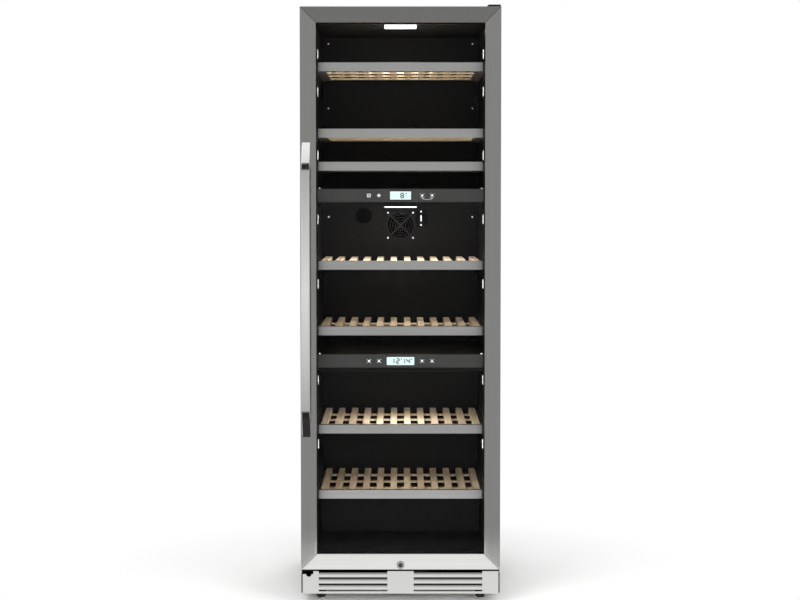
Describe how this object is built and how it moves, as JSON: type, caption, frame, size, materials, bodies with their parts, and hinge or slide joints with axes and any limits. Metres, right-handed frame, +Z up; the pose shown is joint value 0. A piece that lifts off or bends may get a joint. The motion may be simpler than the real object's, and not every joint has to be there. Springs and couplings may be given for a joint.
{
  "type": "wine cooler",
  "caption": "Tall free-standing wine cooler with a hinged glazed stainless door, bow handle, pull-out slatted shelves, zone dividers with displays, and a cooling unit behind a kick grille",
  "frame": {"origin": "centre of the footprint's bounding box on the floor", "axes": "+Z up, the door faces -Y, +X to the viewer's right with the hinge on +X"},
  "size_m": [0.595, 0.68, 1.781],
  "materials": {
    "stainless": "satin",
    "kick_stainless": "satin",
    "handle_stainless": "satin",
    "shelf_steel": "satin",
    "beech": "matte",
    "zinc_plate": "satin",
    "black_casing": "satin",
    "black_chassis": "satin",
    "black_liner": "satin",
    "duct_black": "satin",
    "foam": "matte",
    "fin_aluminium": "satin",
    "fan_black": "satin",
    "lamp_white": "satin",
    "fascia_anthracite": "satin",
    "display_pale": "gloss",
    "circuit_green": "satin",
    "white_plastic": "satin",
    "compressor_black": "satin",
    "black_rubber": "matte",
    "spacer_black": "matte",
    "clear_glass": "polished",
    "lock_chrome": "polished"
  },
  "bodies": {
    "cabinet": {"outer_cabinet": "black_casing", "back_panel": "black_casing", "rear_grille": "black_casing", "base_chassis": "black_chassis", "inner_liner": "black_liner", "insulation_foam": "foam", "rear_duct_panels": "duct_black", "evaporators": "fin_aluminium", "circulation_fan_frame": "fan_black", "charcoal_filter": "duct_black", "sensor_cover": "duct_black", "lamp_housings": "fan_black", "lamp_lenses": "lamp_white", "zone_dividers": "duct_black", "control_fascias": "fascia_anthracite", "displays": "display_pale", "control_boards": "circuit_green", "shelf_rails": "zinc_plate", "rail_end_caps": "white_plastic", "compressor": "compressor_black", "compressor_mounts": "black_rubber", "condenser": "fin_aluminium", "condenser_fan_frame": "fan_black", "drain_tray": "white_plastic", "mains_inlet": "fan_black", "kick_grille": "kick_stainless", "top_hinge": "black_chassis", "bottom_hinge": "black_chassis", "spare_hinge_plate": "black_chassis", "casing_screws": "zinc_plate"},
    "door": {"door_rails": "stainless", "door_stiles": "stainless", "door_backing_frame": "fan_black", "door_panes": "clear_glass", "pane_spacer": "spacer_black", "door_gasket": "black_rubber", "handle_bar": "handle_stainless", "lock_barrel": "lock_chrome", "hinge_bushes": "white_plastic"},
    "lock": {"lock_cam": "lock_chrome"},
    "circulation_fan": {"circulation_fan_rotor": "fan_black"},
    "condenser_fan": {"condenser_fan_rotor": "fan_black"},
    "foot_front_left": {"foot_front_left": "black_rubber"},
    "foot_front_right": {"foot_front_right": "black_rubber"},
    "foot_rear_left": {"foot_rear_left": "black_rubber"},
    "foot_rear_right": {"foot_rear_right": "black_rubber"},
    "shelf_1": {"shelf_1_frame": "shelf_steel", "shelf_1_slats": "beech"},
    "shelf_2": {"shelf_2_frame": "shelf_steel", "shelf_2_slats": "beech"},
    "shelf_3": {"shelf_3_frame": "shelf_steel", "shelf_3_slats": "beech"},
    "shelf_4": {"shelf_4_frame": "shelf_steel", "shelf_4_slats": "beech"},
    "shelf_5": {"shelf_5_frame": "shelf_steel", "shelf_5_slats": "beech"},
    "shelf_6": {"shelf_6_frame": "shelf_steel", "shelf_6_slats": "beech"},
    "shelf_7": {"shelf_7_frame": "shelf_steel", "shelf_7_slats": "beech"}
  },
  "joints": [
    {"name": "door_hinge", "type": "hinge", "parent": "cabinet", "child": "door", "pos_m": [0.2835, -0.262, 0.9], "axis": [0, 0, 1], "range_deg": [0, 120]},
    {"name": "lock_turn", "type": "hinge", "parent": "door", "child": "lock", "pos_m": [0, -0.245, 0.1135], "axis": [0, 1, 0], "range_deg": [0, 90]},
    {"name": "circulation_fan_spin", "type": "hinge", "parent": "cabinet", "child": "circulation_fan", "pos_m": [0, 0.274, 1.12048], "axis": [0, 1, 0], "continuous": true},
    {"name": "condenser_fan_spin", "type": "hinge", "parent": "cabinet", "child": "condenser_fan", "pos_m": [-0.04, 0.25425, 0.1015], "axis": [1, 0, 0], "continuous": true},
    {"name": "foot_front_left_turn", "type": "hinge", "parent": "cabinet", "child": "foot_front_left", "pos_m": [-0.241, -0.211, 0.02], "axis": [0, 0, 1], "continuous": true},
    {"name": "foot_front_right_turn", "type": "hinge", "parent": "cabinet", "child": "foot_front_right", "pos_m": [0.241, -0.211, 0.02], "axis": [0, 0, 1], "continuous": true},
    {"name": "foot_rear_left_turn", "type": "hinge", "parent": "cabinet", "child": "foot_rear_left", "pos_m": [-0.241, 0.316, 0.02], "axis": [0, 0, 1], "continuous": true},
    {"name": "foot_rear_right_turn", "type": "hinge", "parent": "cabinet", "child": "foot_rear_right", "pos_m": [0.241, 0.316, 0.02], "axis": [0, 0, 1], "continuous": true},
    {"name": "shelf_1_slide", "type": "slide", "parent": "cabinet", "child": "shelf_1", "axis": [0, -1, 0], "range_m": [0, 0.15]},
    {"name": "shelf_2_slide", "type": "slide", "parent": "cabinet", "child": "shelf_2", "axis": [0, -1, 0], "range_m": [0, 0.15]},
    {"name": "shelf_3_slide", "type": "slide", "parent": "cabinet", "child": "shelf_3", "axis": [0, -1, 0], "range_m": [0, 0.15]},
    {"name": "shelf_4_slide", "type": "slide", "parent": "cabinet", "child": "shelf_4", "axis": [0, -1, 0], "range_m": [0, 0.15]},
    {"name": "shelf_5_slide", "type": "slide", "parent": "cabinet", "child": "shelf_5", "axis": [0, -1, 0], "range_m": [0, 0.15]},
    {"name": "shelf_6_slide", "type": "slide", "parent": "cabinet", "child": "shelf_6", "axis": [0, -1, 0], "range_m": [0, 0.15]},
    {"name": "shelf_7_slide", "type": "slide", "parent": "cabinet", "child": "shelf_7", "axis": [0, -1, 0], "range_m": [0, 0.15]}
  ],
  "couplings": [
    {"joint": "shelf_1_slide", "follows": "door_hinge", "m_per_rad": 0.07161},
    {"joint": "shelf_2_slide", "follows": "door_hinge", "m_per_rad": 0.07161},
    {"joint": "shelf_3_slide", "follows": "door_hinge", "m_per_rad": 0.07161},
    {"joint": "shelf_4_slide", "follows": "door_hinge", "m_per_rad": 0.07161},
    {"joint": "shelf_5_slide", "follows": "door_hinge", "m_per_rad": 0.07161},
    {"joint": "shelf_6_slide", "follows": "door_hinge", "m_per_rad": 0.07161},
    {"joint": "shelf_7_slide", "follows": "door_hinge", "m_per_rad": 0.07161}
  ]
}
